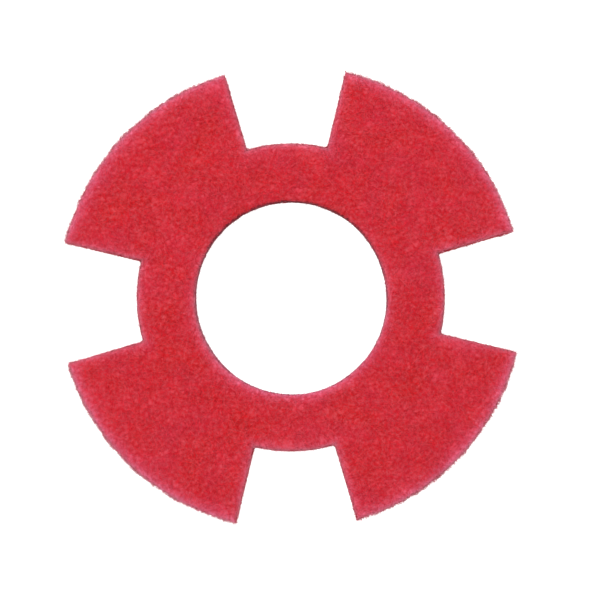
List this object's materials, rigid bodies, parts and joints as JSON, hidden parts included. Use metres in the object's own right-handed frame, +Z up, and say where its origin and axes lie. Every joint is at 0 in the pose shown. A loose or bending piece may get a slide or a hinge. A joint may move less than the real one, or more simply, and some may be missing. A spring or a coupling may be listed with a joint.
{
  "type": "floor machine pad",
  "caption": "Flat lobed scrubbing pad of red non-woven fibre with a round hub hole and open notches, for a rotary floor cleaning machine.",
  "frame": {"origin": "centre of the hub hole on the work face, the face that lies on the floor", "axes": "+Z up the hub hole from the work face to the driver face; +X out through the middle of one notch; +Y out through the middle of the next"},
  "size_m": [0.222, 0.222, 0.02],
  "materials": {
    "fibre_web": "rough, open, non-woven fibre, matt"
  },
  "bodies": {
    "root": {"floor_pad": "fibre_web"}
  },
  "joints": []
}
